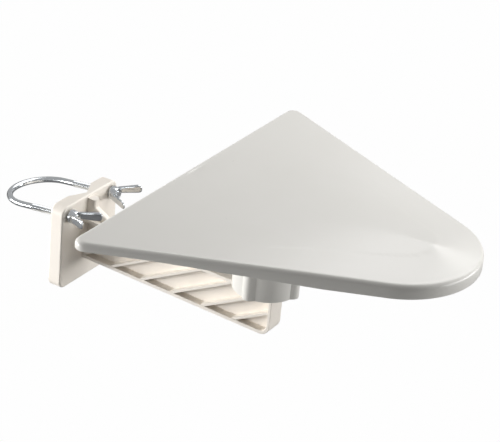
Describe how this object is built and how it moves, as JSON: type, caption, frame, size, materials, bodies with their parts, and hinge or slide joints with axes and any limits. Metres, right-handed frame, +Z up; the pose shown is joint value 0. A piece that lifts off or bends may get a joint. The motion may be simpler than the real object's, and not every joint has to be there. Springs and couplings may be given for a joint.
{
  "type": "yagi antenna",
  "caption": "Log-periodic television antenna in a flat triangular housing, on a ribbed arm with a V-jaw, U-bolt and wing nuts that clamp it to a mast.",
  "frame": {"origin": "on the centreline of the thickest mast that the clamp takes (50 mm), at the height of the two bolt holes", "axes": "+Z up along the mast, +X forwards from the mast towards the nose of the housing, +Y to the left seen from the mast"},
  "size_m": [0.4476, 0.3302, 0.1457],
  "materials": {
    "housing_plastic": "smooth moulded white plastic, semi-gloss",
    "bracket_plastic": "moulded cream-white plastic, satin",
    "zinc_plated_steel": "bright zinc plating",
    "stainless_screw": "plain steel",
    "array_aluminium": "bare rolled sheet",
    "nickel_brass": "nickel plating",
    "socket_dielectric": "white dielectric",
    "contact_brass": "bare brass",
    "foam_rubber": "closed-cell foam",
    "cable_jacket": "smooth black jacket",
    "spacer_plastic": "moulded grey plastic"
  },
  "bodies": {
    "antenna": {"top_shell": "housing_plastic", "bottom_cover": "housing_plastic", "cover_gasket": "foam_rubber", "cover_screws": "stainless_screw", "upper_array": "array_aluminium", "lower_array": "array_aluminium", "boom_spacers": "spacer_plastic", "shorting_bridge": "array_aluminium", "array_screws": "stainless_screw", "feed_cable": "cable_jacket", "feed_wire": "contact_brass", "braid_clamp": "nickel_brass", "cable_clips": "spacer_plastic", "socket_body": "nickel_brass", "socket_insulator": "socket_dielectric", "socket_contact": "contact_brass", "socket_washer": "nickel_brass", "socket_nut": "nickel_brass", "mast_bracket": "bracket_plastic", "arm_retainer": "zinc_plated_steel", "arm_screws": "stainless_screw"},
    "u_bolt": {"u_bolt": "zinc_plated_steel"},
    "left_nut": {"wing_nut_left": "zinc_plated_steel"},
    "right_nut": {"wing_nut_right": "zinc_plated_steel"}
  },
  "joints": [
    {"name": "u_bolt_slide", "type": "slide", "parent": "antenna", "child": "u_bolt", "axis": [0.9928, 0, 0.1201], "range_m": [0, 0.03975]},
    {"name": "wing_nut_left_spin", "type": "hinge", "parent": "antenna", "child": "left_nut", "pos_m": [0.02527, 0.03, 0], "axis": [-0.9928, 0, -0.1201], "range_deg": [0, 14311]},
    {"name": "wing_nut_right_spin", "type": "hinge", "parent": "antenna", "child": "right_nut", "pos_m": [0.02527, -0.03, 0], "axis": [-0.9928, 0, -0.1201], "range_deg": [0, 14311]}
  ],
  "couplings": [
    {"joint": "wing_nut_left_spin", "follows": "u_bolt_slide", "rad_per_m": 6283.2},
    {"joint": "wing_nut_right_spin", "follows": "u_bolt_slide", "rad_per_m": 6283.2}
  ]
}
